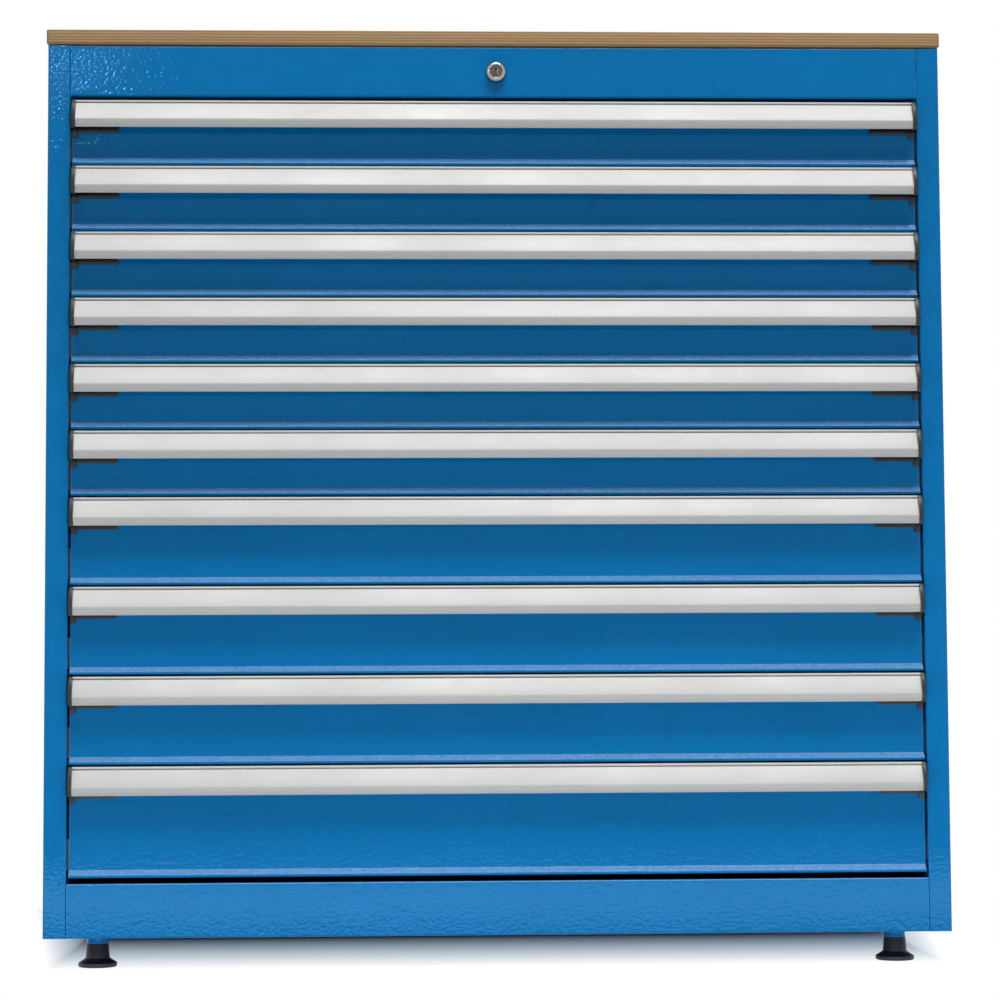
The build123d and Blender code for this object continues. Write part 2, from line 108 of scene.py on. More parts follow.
class NodeBench:
    """Adds and joins the nodes of one shader tree."""

    def __init__(self, tree: bpy.types.NodeTree) -> None:
        """Work on this tree."""
        self.tree = tree

    def add(self, kind: str, **settings: object) -> bpy.types.Node:
        """Add a node.

        Args:
            kind: Blender's name of the node type, without the leading ShaderNode.
            settings: Attributes of the node to set.

        Returns:
            The new node.
        """
        node = self.tree.nodes.new("ShaderNode" + kind)
        for name, value in settings.items():
            setattr(node, name, value)
        return node

    def feed(self, target: bpy.types.NodeSocket, source: object) -> None:
        """Set an input from a socket, a number or a colour.

        Args:
            target: The input.
            source: An output socket, or the plain value.
        """
        if isinstance(source, bpy.types.NodeSocket):
            self.tree.links.new(source, target)
        elif isinstance(source, tuple) and target.type == "RGBA":
            target.default_value = (*source, 1.0)
        else:
            target.default_value = source

    def maths(self, operation: str, *terms: object) -> bpy.types.NodeSocket:
        """Result of a math node.

        Args:
            operation: Name of the operation.
            terms: Sockets or numbers that it works on.

        Returns:
            The output socket.
        """
        node = self.add("Math", operation=operation)
        for target, term in zip(node.inputs, terms):
            self.feed(target, term)
        return node.outputs[0]

    def spread(self, value: object, low: float, high: float,
               to_low: float = 0.0, to_high: float = 1.0) -> bpy.types.NodeSocket:
        """Value moved from one range to another, and held inside it.

        Args:
            value: The socket to move.
            low: Value that becomes to_low.
            high: Value that becomes to_high.
            to_low: Result at low.
            to_high: Result at high.

        Returns:
            The output socket.
        """
        node = self.add("MapRange")
        for target, term in zip(node.inputs, (value, low, high, to_low, to_high)):
            self.feed(target, term)
        return node.outputs[0]

    def blend(self, share: object, first: object, second: object) -> bpy.types.NodeSocket:
        """Colour between two others.

        Args:
            share: Zero for the first and one for the second.
            first: Socket or colour.
            second: Socket or colour.

        Returns:
            The mixed colour.
        """
        node = self.add("Mix", data_type="RGBA")
        self.feed(node.inputs["Factor"], share)
        self.feed(node.inputs[6], first)
        self.feed(node.inputs[7], second)
        return node.outputs[2]

    def noise(self, place: bpy.types.NodeSocket, scale: object,
              detail: float = 2.0) -> bpy.types.NodeSocket:
        """Noise between zero and one.

        Args:
            place: Coordinates.
            scale: Waves in a metre.
            detail: Octaves on top of the first.

        Returns:
            The value.
        """
        node = self.add("TexNoise")
        self.feed(node.inputs["Vector"], place)
        self.feed(node.inputs["Scale"], scale)
        self.feed(node.inputs["Detail"], detail)
        return node.outputs[0]

    def place(self) -> bpy.types.NodeSocket:
        """Object coordinates."""
        return self.add("TexCoord").outputs["Object"]

    def effect(self, kind: Effect, **values: object) -> bpy.types.NodeSocket:
        """Place a shared effect and return its output.

        Args:
            kind: The effect.
            values: Its inputs by name, with spaces as underscores.

        Returns:
            The effect's value.
        """
        node = self.add("Group", node_tree=EFFECTS[kind]())
        for name, value in values.items():
            self.feed(node.inputs[name.replace("_", " ")], value)
        return node.outputs[0]


class EffectGroup:
    """A shader group with one value as its output, made once."""

    def __init__(self, kind: Effect, inputs: dict[str, tuple[str, object]]) -> None:
        """Start the group.

        Args:
            kind: The effect that it gives.
            inputs: Socket kind and default of each input by name.
        """
        self.tree = bpy.data.node_groups.new(kind.value, "ShaderNodeTree")
        for name, (socket, default) in inputs.items():
            made = self.tree.interface.new_socket(
                name=name, in_out="INPUT", socket_type="NodeSocket" + socket)
            if default is not None:
                made.default_value = default
        self.tree.interface.new_socket(
            name="Value", in_out="OUTPUT", socket_type="NodeSocketFloat")
        self.bench = NodeBench(self.tree)
        self.given = self.tree.nodes.new("NodeGroupInput").outputs
        self.result = self.tree.nodes.new("NodeGroupOutput").inputs[0]

    def close(self, value: bpy.types.NodeSocket) -> bpy.types.NodeTree:
        """Join the output and return the finished group."""
        self.tree.links.new(value, self.result)
        return self.tree


def once(kind: Effect) -> Callable[[GroupBuilder], GroupBuilder]:
    """Decorator that builds the group of an effect the first time it is asked for.

    Args:
        kind: The effect.

    Returns:
        The decorator.
    """

    def wrap(build: GroupBuilder) -> GroupBuilder:
        """Look for the group before it is built."""
        return lambda: bpy.data.node_groups.get(kind.value) or build()

    return wrap


@once(Effect.ORANGE_PEEL)
def orange_peel() -> bpy.types.NodeTree:
    """Rounded grains, as molten powder leaves them, on uneven waves.

    Returns:
        The group.
    """
    group = EffectGroup(Effect.ORANGE_PEEL, {
        "Vector": ("Vector", None), "Scale": ("Float", 300.0), "Waves": ("Float", 0.4)})
    bench, given = group.bench, group.given
    grains = bench.add("TexVoronoi")
    bench.feed(grains.inputs["Vector"], given["Vector"])
    bench.feed(grains.inputs["Scale"], given["Scale"])
    away = grains.outputs["Distance"]
    waves = bench.noise(given["Vector"], given["Scale"], 0.0)
    return group.close(bench.maths(
        "SUBTRACT", bench.maths("MULTIPLY", waves, given["Waves"]),
        bench.maths("MULTIPLY", away, away)))


@once(Effect.EDGE_WEAR_AND_HIGHLIGHT)
def edge_wear_and_highlight() -> bpy.types.NodeTree:
    """Mask that is one on sharp edges and broken up by noise.

    Returns:
        The group.
    """
    flat, bent = 0.99, 0.8
    gap, kept = 0.35, 0.65
    group = EffectGroup(Effect.EDGE_WEAR_AND_HIGHLIGHT, {
        "Vector": ("Vector", None), "Radius": ("Float", 0.002), "Breakup": ("Float", 60.0)})
    bench, given = group.bench, group.given
    bevel = bench.add("Bevel", samples=4)
    bench.feed(bevel.inputs["Radius"], given["Radius"])
    facing = bench.add("VectorMath", operation="DOT_PRODUCT")
    bench.feed(facing.inputs[0], bevel.outputs[0])
    bench.feed(facing.inputs[1], bench.add("NewGeometry").outputs["Normal"])
    turned = bench.spread(facing.outputs["Value"], flat, bent)
    broken = bench.spread(bench.noise(given["Vector"], given["Breakup"], 3.0), gap, kept)
    return group.close(bench.maths("MULTIPLY", turned, broken))


@once(Effect.LONG_GRAIN)
def long_grain() -> bpy.types.NodeTree:
    """Streaks along X, as left by a drawing die or by growth rings.

    Returns:
        The group.
    """
    group = EffectGroup(Effect.LONG_GRAIN, {
        "Vector": ("Vector", None), "Along": ("Float", 3.0), "Across": ("Float", 900.0)})
    bench, given = group.bench, group.given
    split = bench.add("SeparateXYZ")
    bench.feed(split.inputs[0], given["Vector"])
    joined = bench.add("CombineXYZ")
    for index, scale in enumerate(("Along", "Across", "Across")):
        bench.feed(joined.inputs[index],
                   bench.maths("MULTIPLY", split.outputs[index], given[scale]))
    return group.close(bench.noise(joined.outputs[0], 1.0, 3.0))


@once(Effect.HANDLING)
def handling() -> bpy.types.NodeTree:
    """Broad uneven patches where hands and cloths have been.

    Returns:
        The group.
    """
    finer, small_share = 14.0, 0.3
    group = EffectGroup(Effect.HANDLING, {
        "Vector": ("Vector", None), "Scale": ("Float", 9.0)})
    bench, given = group.bench, group.given
    broad = bench.noise(given["Vector"], given["Scale"], 4.0)
    small = bench.noise(given["Vector"], bench.maths("MULTIPLY", given["Scale"], finer), 2.0)
    both = bench.maths("MULTIPLY_ADD", small, small_share,
                       bench.maths("MULTIPLY", broad, 1.0 - small_share))
    return group.close(bench.spread(both, *NOISE_RANGE))


EFFECTS: dict[Effect, GroupBuilder] = {
    Effect.ORANGE_PEEL: orange_peel,
    Effect.EDGE_WEAR_AND_HIGHLIGHT: edge_wear_and_highlight,
    Effect.LONG_GRAIN: long_grain,
    Effect.HANDLING: handling,
}


# Finishes


class Surface:
    """One material: its node bench and its Principled shader."""

    def __init__(self, name: str) -> None:
        """Start a material.

        Args:
            name: Its name.
        """
        self.material = bpy.data.materials.new(name)
        self.material.use_nodes = True
        self.bench = NodeBench(self.material.node_tree)
        self.shader = self.material.node_tree.nodes["Principled BSDF"]

    def set(self, **values: object) -> None:
        """Feed the shader's inputs, named with underscores for spaces."""
        for name, value in values.items():
            self.bench.feed(self.shader.inputs[name.replace("_", " ")], value)

    def bump(self, height: bpy.types.NodeSocket, depth: float) -> None:
        """Raise the surface.

        Args:
            height: Height as a plain number.
            depth: Metres that a height of one stands for.
        """
        node = self.bench.add("Bump")
        node.inputs["Distance"].default_value = depth
        self.bench.feed(node.inputs["Height"], height)
        self.bench.feed(self.shader.inputs["Normal"], node.outputs[0])


@dataclass(frozen=True)
class PowderCoat:
    """Glossy powder coat with orange peel; its edges are paled as rubbed wear and painted
    highlight along the bends, and its upward slopes as a dusting and painted highlight.
    """

    name: str = "blue_powder_coat"
    colour: Colour = from_screen("0072B0")
    deep_share: float = 0.9
    sheen: Colour = (0.25, 0.58, 1.0)
    # Pale edge tone: rubbed wear, and a painted highlight along the bends.
    rubbed: Colour = from_screen("7AA9DC")
    rub: float = 0.75
    rub_radius: float = 1.2 * MM
    # Pale tone of the upward slopes: a dusting and a painted highlight of the light from above.
    dust_and_highlight: Colour = from_screen("84AAD6")
    dust_and_highlight_share: float = 0.7
    sloping: Span = (0.3, 0.55)
    level: Span = (0.97, 0.85)
    speckle_scale: float = 260.0
    speckle: Span = (0.55, 1.0)
    peel_scale: float = 240.0
    peel_waves: float = 0.15
    peel_depth: float = 0.12 * MM
    roughness: Span = (0.05, 0.12)

    def dusting_and_highlight_ledges(self, bench: NodeBench, place: bpy.types.NodeSocket) -> bpy.types.NodeSocket:
        """Mask of the sloping faces, which face up but aren't level: where a dusting and a
        painted highlight pale the coat.

        Args:
            bench: Tree of the material.
            place: Coordinates.

        Returns:
            The mask.
        """
        parts = bench.add("SeparateXYZ")
        bench.feed(parts.inputs[0], bench.add("NewGeometry").outputs["Normal"])
        upward = parts.outputs[2]
        sloping = bench.maths("MULTIPLY", bench.spread(upward, *self.sloping),
                              bench.spread(upward, *self.level))
        speckle = bench.spread(bench.noise(place, self.speckle_scale), *NOISE_RANGE,
                               *self.speckle)
        return bench.maths("MULTIPLY", sloping, speckle)

    def make(self) -> bpy.types.Material:
        """Build the material.

        Returns:
            The finished material.
        """
        surface = Surface(self.name)
        bench = surface.bench
        place = bench.place()
        patches = bench.effect(Effect.HANDLING, Vector=place, Scale=5.0)
        deep = tuple(self.deep_share * c for c in self.colour)
        coat = bench.blend(patches, self.colour, deep)
        # Edges paled towards the rubbed tone: wear, and a painted highlight along the bends.
        worn = bench.effect(Effect.EDGE_WEAR_AND_HIGHLIGHT, Vector=place, Radius=self.rub_radius, Breakup=35.0)
        rubbed = bench.blend(bench.maths("MULTIPLY", worn, self.rub), coat, self.rubbed)
        # Upward sloping faces are paled: a dusting and a painted highlight of the light from
        # above.
        dust_and_highlight_mask = bench.maths("MULTIPLY", self.dusting_and_highlight_ledges(bench, place), self.dust_and_highlight_share)
        surface.set(
            Base_Color=bench.blend(dust_and_highlight_mask, rubbed, self.dust_and_highlight),
            Roughness=bench.spread(patches, 0.0, 1.0, *self.roughness),
            Specular_IOR_Level=0.3,
            Specular_Tint=self.sheen,
        )
        peel = bench.effect(Effect.ORANGE_PEEL, Vector=place, Scale=self.peel_scale,
                            Waves=self.peel_waves)
        surface.bump(peel, self.peel_depth)
        return surface.material


@dataclass(frozen=True)
class SatinAluminium:
    """Anodised extrusion with faint die lines along its length."""

    name: str = "satin_anodised_aluminium"
    colour: Colour = from_screen("BABAB8")
    shade: Colour = from_screen("AEAEAB")
    rubbed: Colour = from_screen("F0F0EE")
    rub: float = 0.5
    rub_radius: float = 0.6 * MM
    metallic: float = 0.2
    roughness: Span = (0.5, 0.62)
    line_depth: float = 0.02 * MM

    def make(self) -> bpy.types.Material:
        """Build the material.

        Returns:
            The finished material.
        """
        surface = Surface(self.name)
        bench = surface.bench
        place = bench.place()
        lines = bench.effect(Effect.LONG_GRAIN, Vector=place, Along=2.5, Across=1400.0)
        patches = bench.effect(Effect.HANDLING, Vector=place, Scale=7.0)
        tone = bench.blend(lines, self.shade, self.colour)
        worn = bench.effect(Effect.EDGE_WEAR_AND_HIGHLIGHT, Vector=place, Radius=self.rub_radius, Breakup=80.0)
        surface.set(
            Base_Color=bench.blend(bench.maths("MULTIPLY", worn, self.rub), tone, self.rubbed),
            Metallic=self.metallic,
            Roughness=bench.spread(patches, 0.0, 1.0, *self.roughness),
        )
        surface.bump(lines, self.line_depth)
        return surface.material


@dataclass(frozen=True)
class MouldedPlastic:
    """Matt moulded plastic with a fine spark-eroded grain."""

    name: str
    colour: Colour
    rubbed: Colour
    roughness: float = 0.5
    smoother: float = 0.06
    rougher: float = 0.08
    faded: float = 1.25
    rub: float = 0.6
    rub_radius: float = 0.8 * MM
    grain_scale: float = 1500.0
    grain_depth: float = 0.03 * MM

    def make(self) -> bpy.types.Material:
        """Build the material.

        Returns:
            The finished material.
        """
        surface = Surface(self.name)
        bench = surface.bench
        place = bench.place()
        patches = bench.effect(Effect.HANDLING, Vector=place, Scale=20.0)
        worn = bench.effect(Effect.EDGE_WEAR_AND_HIGHLIGHT, Vector=place, Radius=self.rub_radius, Breakup=120.0)
        faded = bench.blend(patches, self.colour, tuple(self.faded * c for c in self.colour))
        surface.set(
            Base_Color=bench.blend(bench.maths("MULTIPLY", worn, self.rub), faded, self.rubbed),
            Roughness=bench.spread(patches, 0.0, 1.0, self.roughness - self.smoother,
                                   self.roughness + self.rougher),
        )
        grain = bench.effect(Effect.ORANGE_PEEL, Vector=place, Scale=self.grain_scale, Waves=0.6)
        surface.bump(grain, self.grain_depth)
        return surface.material


@dataclass(frozen=True)
class Plywood:
    """Board of crossed plies: layers on its edges and a veneer on its faces."""

    base_level: float
    ply: float
    name: str = "plywood"
    pale: Colour = from_screen("B08F68")
    dark: Colour = from_screen("96754E")
    veneer: Colour = from_screen("CDA978")
    rings: Colour = from_screen("A57F52")
    wobble: float = 0.3
    wobble_scale: float = 14.0
    joint: Span = (0.2, 0.3)
    toning: float = 0.6
    fibre_shade: float = 0.8
    pore_shade: float = 0.6
    pore_scale: float = 900.0
    pore_size: Span = (0.5, 0.75)
    figure: Span = (0.35, 0.65)
    streaking: float = 0.35
    lying: Span = (0.6, 0.8)
    roughness: Span = (0.42, 0.58)
    fibre_depth: float = 0.08 * MM

    def edge(self, bench: NodeBench, place: bpy.types.NodeSocket, fibres: bpy.types.NodeSocket,
             pores: bpy.types.NodeSocket) -> bpy.types.NodeSocket:
        """Colour of the edges: plies that lie by turns along and across.

        Args:
            bench: Tree of the material.
            place: Coordinates.
            fibres: Streaks of the plies that lie along.
            pores: Dots of the plies cut across.

        Returns:
            The colour.
        """
        parts = bench.add("SeparateXYZ")
        bench.feed(parts.inputs[0], place)
        wobble = bench.spread(bench.noise(place, self.wobble_scale, 3.0), 0.0, 1.0,
                              -self.wobble, self.wobble)
        height = bench.maths("SUBTRACT", parts.outputs[2], self.base_level)
        plies = bench.maths("ADD", bench.maths("DIVIDE", height, self.ply), wobble)
        inside = bench.maths("FRACT", bench.maths("MULTIPLY", plies, 0.5))
        cross = bench.spread(bench.maths("ABSOLUTE", bench.maths("SUBTRACT", inside, 0.5)),
                             *self.joint)
        layer = bench.add("TexWhiteNoise", noise_dimensions="1D")
        bench.feed(layer.inputs["W"], bench.maths("FLOOR", plies))
        toned = bench.blend(bench.maths("MULTIPLY", layer.outputs["Value"], self.toning),
                            self.pale, self.veneer)
        along = bench.blend(fibres, toned, tuple(self.fibre_shade * c for c in self.pale))
        ended = bench.blend(pores, self.dark, tuple(self.pore_shade * c for c in self.dark))
        return bench.blend(cross, along, ended)

    def face(self, bench: NodeBench, place: bpy.types.NodeSocket) -> bpy.types.NodeSocket:
        """Colour of the veneered faces: broad growth rings under fine streaks.

        Args:
            bench: Tree of the material.
            place: Coordinates.

        Returns:
            The colour.
        """
        rings = bench.effect(Effect.LONG_GRAIN, Vector=place, Along=1.4, Across=34.0)
        streaks = bench.effect(Effect.LONG_GRAIN, Vector=place, Along=9.0, Across=700.0)
        face = bench.blend(bench.spread(rings, *self.figure), self.veneer, self.rings)
        return bench.blend(bench.maths("MULTIPLY", streaks, self.streaking), face, self.dark)

    def make(self) -> bpy.types.Material:
        """Build the material.

        Returns:
            The finished material.
        """
        surface = Surface(self.name)
        bench = surface.bench
        place = bench.place()
        fibres = bench.effect(Effect.LONG_GRAIN, Vector=place, Along=60.0, Across=2600.0)
        pores = bench.spread(bench.noise(place, self.pore_scale), *self.pore_size)
        edge = self.edge(bench, place, fibres, pores)
        normal = bench.add("SeparateXYZ")
        bench.feed(normal.inputs[0], bench.add("NewGeometry").outputs["Normal"])
        lying = bench.spread(bench.maths("ABSOLUTE", normal.outputs[2]), *self.lying)
        patches = bench.effect(Effect.HANDLING, Vector=place, Scale=6.0)
        surface.set(
            Base_Color=bench.blend(lying, edge, self.face(bench, place)),
            Roughness=bench.spread(patches, 0.0, 1.0, *self.roughness),
            Specular_IOR_Level=0.35,
        )
        surface.bump(bench.maths("MULTIPLY_ADD", pores, -0.5, fibres), self.fibre_depth)
        return surface.material


@dataclass(frozen=True)
class PlatedSteel:
    """Plated or bare metal: tone, how metallic and how bright it is."""

    name: str
    colour: Colour
    stained: Colour
    roughness: float
    metallic: float = 1.0
    unevenness: float = 0.25
    spangle: float = 260.0
    grain_scale: float = 1200.0
    grain_depth: float = 0.01 * MM

    def make(self) -> bpy.types.Material:
        """Build the material.

        Returns:
            The finished material.
        """
        surface = Surface(self.name)
        bench = surface.bench
        place = bench.place()
        cells = bench.add("TexVoronoi", feature="SMOOTH_F1")
        bench.feed(cells.inputs["Vector"], place)
        cells.inputs["Scale"].default_value = self.spangle
        patches = bench.effect(Effect.HANDLING, Vector=place, Scale=15.0)
        tone = bench.blend(bench.maths("MULTIPLY", patches, cells.outputs["Distance"]),
                           self.colour, self.stained)
        surface.set(
            Base_Color=tone,
            Metallic=self.metallic,
            Roughness=bench.spread(patches, 0.0, 1.0, (1.0 - self.unevenness) * self.roughness,
                                   (1.0 + self.unevenness) * self.roughness),
        )
        grain = bench.effect(Effect.ORANGE_PEEL, Vector=place, Scale=self.grain_scale, Waves=0.5)
        surface.bump(grain, self.grain_depth)
        return surface.material


# Meshes


class Mesh:
    """A mesh under construction, with its place in it, in metres."""

    def __init__(self) -> None:
        """Start empty."""
        self.bm = bmesh.new()

    def block(self, low: Vector, high: Vector) -> list[bmesh.types.BMVert]:
        """Add a block.

        Args:
            low: Lowest corner.
            high: Highest corner.

        Returns:
            Its corners.
        """
        size = high - low
        matrix = Matrix.Translation((low + high) / 2) @ Matrix.Diagonal((*size, 1.0))
        return bmesh.ops.create_cube(self.bm, size=1.0, matrix=matrix)["verts"]

    def outline(self, points: Profile, plane: Matrix) -> bmesh.types.BMFace:
        """Add a flat face from a closed outline.

        Args:
            points: Corners in the plane, in metres.
            plane: Matrix from the plane's X and Y to the object.

        Returns:
            The face.
        """
        corners = [self.bm.verts.new(plane @ Vector((u, v, 0.0))) for u, v in points]
        return self.bm.faces.new(corners)

    def extrude(self, face: bmesh.types.BMFace, way: Vector) -> list[bmesh.types.BMVert]:
        """Pull a face out into a closed bar.

        Args:
            face: The face.
            way: Direction and length.

        Returns:
            The vertices of the whole bar.
        """
        first = list(face.verts)
        made = bmesh.ops.extrude_face_region(self.bm, geom=[face], use_keep_orig=True)
        second = [item for item in made["geom"] if isinstance(item, bmesh.types.BMVert)]
        bmesh.ops.translate(self.bm, verts=second, vec=way)
        return first + second

    def ease(self, edges: list[bmesh.types.BMEdge], radius: float, segments: int = 2) -> None:
        """Round edges.

        Args:
            edges: The edges.
            radius: How far the rounding reaches.
            segments: Steps of the rounding.
        """
        bmesh.ops.bevel(self.bm, geom=edges, offset=radius, offset_type="OFFSET",
                        segments=segments, profile=0.5, affect="EDGES", material=-1)

    def sharp(self, verts: list[bmesh.types.BMVert],
              angle: float = 25.0) -> list[bmesh.types.BMEdge]:
        """Edges that turn by more than an angle.

        Args:
            verts: Vertices that the edges run between.
            angle: The angle in degrees.

        Returns:
            The edges.
        """
        held = set(verts)
        return [edge for edge in self.bm.edges if set(edge.verts) <= held
                and edge.is_manifold and edge.calc_face_angle(0.0) > math.radians(angle)]

    def running(self, verts: list[bmesh.types.BMVert], axis: int,
                angle: float = 25.0) -> list[bmesh.types.BMEdge]:
        """Sharp edges that run along an axis.

        Args:
            verts: Vertices that the edges run between.
            axis: Index of the axis.
            angle: Least turn in degrees.

        Returns:
            The edges.
        """
        return [edge for edge in self.sharp(verts, angle)
                if abs((edge.verts[0].co - edge.verts[1].co)[axis]) > SHORT]

    def rim(self, verts: list[bmesh.types.BMVert], axis: int, level: float,
            angle: float) -> list[bmesh.types.BMEdge]:
        """Sharp edges that lie at one level of an axis.

        Args:
            verts: Vertices that the edges run between.
            axis: Index of the axis.
            level: Where on the axis they lie.
            angle: Least turn in degrees.

        Returns:
            The edges.
        """
        return [edge for edge in self.sharp(verts, angle)
                if all(abs(vert.co[axis] - level) < TOUCH for vert in edge.verts)]

    def turned(self, points: Profile, axis: Vector, centre: Vector, steps: int = 48) -> None:
        """Add a solid turned round an axis.

        Args:
            points: Radius and height of the profile, from the axis to the axis.
            axis: Direction of the axis.
            centre: Point on the axis at height zero.
            steps: Steps of the full turn.
        """
        side = axis.orthogonal().normalized()
        line = [self.bm.verts.new(centre + side * u + axis * v) for u, v in points]
        edges = [self.bm.edges.new(pair) for pair in zip(line, line[1:])]
        bmesh.ops.spin(self.bm, geom=line + edges, cent=centre, axis=axis, dvec=(0, 0, 0),
                       angle=math.tau, steps=steps, use_merge=True)

    def mirrored(self) -> None:
        """Add the mirror image across the middle plane."""
        bmesh.ops.mirror(self.bm, geom=list(self.bm.verts) + list(self.bm.edges)
                         + list(self.bm.faces), axis="X", merge_dist=-1.0)

    def piece(self, name: str, body: str, material: bpy.types.Material,
              replaces: Sequence[str] = (), smooth: float = 32.0) -> bpy.types.Object:
        """Close the mesh and make it a piece of the object that rides on its body.

        Args:
            name: Name of the piece.
            body: Body of the frame that it moves with.
            material: Its material.
            replaces: Nodes of the frame that it stands for.
            smooth: Angle in degrees up to which an edge is shaded smooth.

        Returns:
            The new object.
        """
        bmesh.ops.remove_doubles(self.bm, verts=self.bm.verts, dist=TOUCH)
        bmesh.ops.recalc_face_normals(self.bm, faces=self.bm.faces)
        for face in self.bm.faces:
            face.smooth = True
        for edge in self.bm.edges:
            edge.smooth = edge.calc_face_angle(0.0) < math.radians(smooth)
        data = bpy.data.meshes.new(name)
        self.bm.to_mesh(data)
        self.bm.free()
        data.materials.append(material)
        made = bpy.data.objects.new(name, data)
        bpy.context.scene.collection.objects.link(made)
        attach(made, body)
        if replaces:
            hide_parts(*replaces)
        LOG.info("%s rides on %s", name, body)
        return made


def arc(tip: tuple[float, float], end: tuple[float, float], steps: int) -> Profile:
    """Points of the arc that leaves a tip upright and runs to an end.

    Args:
        tip: Foremost point, as depth and height.
        end: Last point.
        steps: Number of chords.

    Returns:
        The points, from the tip on.
    """
    run, rise = end[0] - tip[0], end[1] - tip[1]
    radius = (run * run + rise * rise) / (2 * run)
    whole = math.atan2(abs(rise), radius - run)
    turns = [whole * step / steps for step in range(steps + 1)]
    return [(tip[0] + radius * (1 - math.cos(turn)),
             tip[1] + math.copysign(radius * math.sin(turn), rise)) for turn in turns]


# Plane of the sections: their first value is a depth and their second a height
FACING_SIDE = Matrix(((0, 0, 1, 0), (1, 0, 0, 0), (0, 1, 0, 0), (0, 0, 0, 1)))


@dataclass(frozen=True)
class Finishes:
    """The materials, made once, by slot."""

    made: dict[Slot, bpy.types.Material]

    @classmethod
    def prepare(cls) -> "Finishes":
        """Build every material.

        Returns:
            The materials.
        """
        low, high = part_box("worktop")
        plies = 11
        return cls({
            Slot.BLUE: PowderCoat().make(),
            Slot.ALUMINIUM: SatinAluminium().make(),
            Slot.CAP: MouldedPlastic("cap_plastic", from_screen("121112"),
                                     from_screen("3A3735"), 0.38).make(),
            Slot.FOOT: MouldedPlastic("foot_plastic", from_screen("18181B"),
                                      from_screen("4A4A4C"), 0.45).make(),
            Slot.ZINC: PlatedSteel("zinc_plated_steel", from_screen("7E8286"),
                                   from_screen("5E6266"), 0.38, 0.9).make(),
            Slot.PLYWOOD: Plywood(low.z, (high.z - low.z) / plies).make(),
            Slot.CHROME: PlatedSteel("chrome", from_screen("A6A5A8"),
                                     from_screen("87868A"), 0.1).make(),
            Slot.PLUG: PlatedSteel("plug_metal", from_screen("67605B"),
                                   from_screen("3E3935"), 0.3).make(),
        })

    def dress_frame(self) -> None:
        """Give every node of the frame the material of its slot."""
        parts = {
            "levelling_feet": Slot.FOOT, "worktop": Slot.PLYWOOD, "lock_housing": Slot.CHROME,
            "lock_plug": Slot.PLUG,
        }
        zinc = ("rails", "studs", "nut", "shaft", "lock_bar")
        for name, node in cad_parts.items():
            slot = parts.get(name, Slot.BLUE)
            if name.endswith("handle"):
                slot = Slot.ALUMINIUM
            elif name.endswith("end_caps"):
                slot = Slot.CAP
            elif any(word in name for word in zinc):
                slot = Slot.ZINC
            node.data.materials.clear()
            node.data.materials.append(self.made[slot])


# Sub-assemblies


@dataclass(frozen=True)
class GripHandle:
    """Extruded grip with a bead, a sloping face over a groove, a ridge and a hooked lip."""

    number: int
    bead: float = 2.5 * MM
    bead_reach: float = 6.0 * MM
    bead_slope: float = 1.1 * MM
    groove: float = 1.2 * MM
    groove_tilt: float = 0.24 * MM
    groove_depth: float = 2.4 * MM
    face_sink: float = 0.5 * MM
    ridge_reach: float = 15.0 * MM
    lip_reach: float = 13.0 * MM
    lower_face: float = 7.9 * MM
    ridge: float = 1.2 * MM
    wall: float = 1.8 * MM
    web: float = 19.0 * MM
    easing: float = 0.35 * MM
    crease: float = 20.0

    def outline(self, top: float, low: float, front: float, back: float) -> Profile:
        """Closed section, as depth and height.

        Args:
            top: Height of the top edge.
            low: Height of the lower edge.
            front: Depth of the cabinet's front.
            back: Depth of the web's back.

        Returns:
            The corners in order.
        """
        bead = front - self.bead_reach
        ridge = front - self.ridge_reach
        lip = front - self.lip_reach
        ridge_top = low + self.lower_face
        slope = (ridge - bead) / (top - self.bead - ridge_top)
        under = top - self.bead - self.groove
        return (
            (back, top),
            (bead + self.bead_slope, top),
            (bead, top - self.bead_slope),
            (bead, top - self.bead),
            (bead + self.groove_depth, top - self.bead - self.groove_tilt),
            (bead + self.groove_depth, under - self.groove_tilt),
            (bead + self.face_sink + slope * self.groove, under),
            (ridge + self.face_sink, ridge_top + 2 * self.ridge),
            (ridge, ridge_top + self.ridge),
            (ridge, ridge_top),
            (lip, low),
            (lip + self.wall, low),
            (ridge + self.wall + self.face_sink, ridge_top - 0.5 * self.ridge),
            (bead + self.groove_depth + self.wall, under),
            (bead + self.groove_depth + self.wall, top - self.wall),
            (back - self.wall, top - self.wall),
            (back - self.wall, top - self.web),
            (back, top - self.web),
        )

    def build(self, finishes: Finishes, front: float) -> None:
        """Make the handle of one drawer.

        Args:
            finishes: The materials.
            front: Depth of the cabinet's front.
        """
        node = f"drawer_{self.number:02d}_handle"
        low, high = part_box(node)
        mesh = Mesh()
        plane = Matrix.Translation((low.x, 0, 0)) @ FACING_SIDE
        face = mesh.outline(self.outline(high.z, low.z, front, high.y), plane)
        bar = mesh.extrude(face, Vector((high.x - low.x, 0, 0)))
        mesh.ease(mesh.running(bar, X, self.crease), self.easing)
        mesh.piece(f"grip_{self.number:02d}", f"drawer_{self.number:02d}",
                   finishes.made[Slot.ALUMINIUM], [node])


